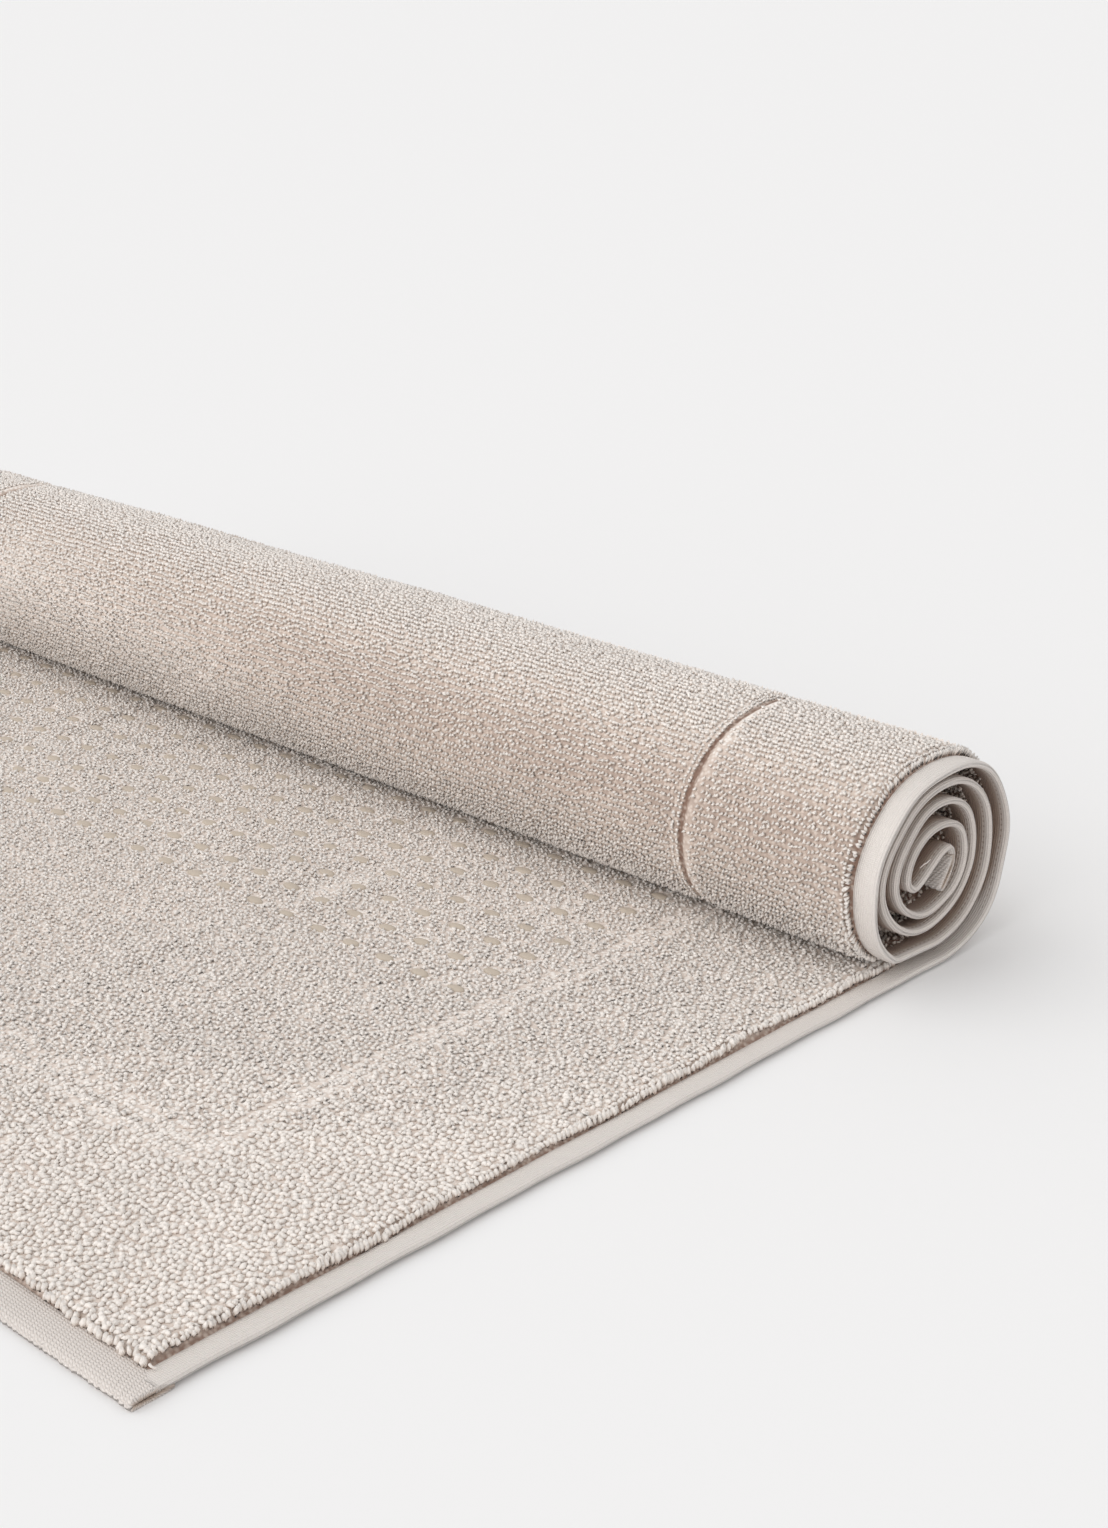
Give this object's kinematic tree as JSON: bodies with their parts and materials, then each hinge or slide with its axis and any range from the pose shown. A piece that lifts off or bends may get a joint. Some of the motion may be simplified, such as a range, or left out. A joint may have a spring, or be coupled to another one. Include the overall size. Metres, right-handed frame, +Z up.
{
  "type": "rolled bath mat",
  "caption": "Cotton terry bath mat lying face up with its far end rolled over the face, narrow woven hems and a frame line sunk in the pile.",
  "frame": {"origin": "on the floor, under the middle of the mat as it lies with its far end rolled up", "axes": "+X along the roll, across the mat's 600 mm width; +Y from the front hem towards the roll; +Z up, out of the mat's face"},
  "size_m": [0.6, 0.375, 0.0752],
  "materials": {
    "terry_cotton": "uncut cotton loops, matt and warm taupe",
    "hem_weave": "flat woven cotton, matt, a little lighter than the pile"
  },
  "bodies": {
    "root": {"bath_mat": "terry_cotton"}
  },
  "joints": []
}
